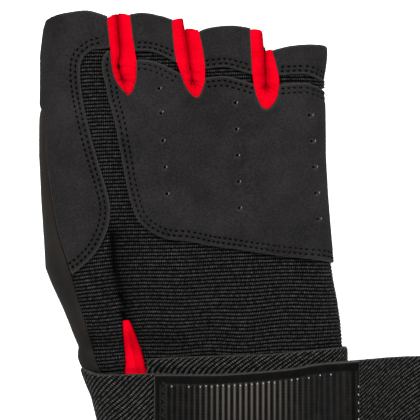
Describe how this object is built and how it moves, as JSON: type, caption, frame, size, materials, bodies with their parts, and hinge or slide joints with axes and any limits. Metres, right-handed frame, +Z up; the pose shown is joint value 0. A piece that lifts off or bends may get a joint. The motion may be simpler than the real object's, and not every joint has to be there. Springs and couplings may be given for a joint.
{
  "type": "weightlifting glove",
  "caption": "Fingerless left-hand lifting glove with suede palm pads, rib knit, red finger gussets and a wide hook-and-loop wrist strap, lying palm up.",
  "frame": {"origin": "middle of the footprint, on the surface that the glove's back rests on", "axes": "+Z up from the palm, +Y to the fingertips, +X to the little finger's side and the strap's free tail"},
  "size_m": [0.19, 0.1846, 0.0283],
  "materials": {
    "suede": "matt dark grey suede with tone-on-tone stitches",
    "smooth_leather": "smooth dull dark brown-black leather",
    "rib_knit": "black elastic rib knit, ribs across the hand",
    "back_knit": "plain black stretch knit",
    "red_cloth": "bright red stretch cloth, soft sheen",
    "webbing": "black twill elastic webbing with slanting ribs",
    "hook_plastic": "glossy black moulded hook tape"
  },
  "bodies": {
    "root": {"middle_finger_front": "suede", "ring_finger_front": "suede", "little_finger_front": "suede", "index_panel": "suede", "thumb_panel": "smooth_leather", "palm_pad": "suede", "finger_gusset_1": "red_cloth", "finger_gusset_2": "red_cloth", "finger_gusset_3": "red_cloth", "wrist_vent": "red_cloth", "palm_knit": "rib_knit", "back_panel": "back_knit", "thumb_sleeve": "smooth_leather", "cuff_band": "webbing", "wrist_strap": "webbing", "hook_patch": "hook_plastic"}
  },
  "joints": []
}
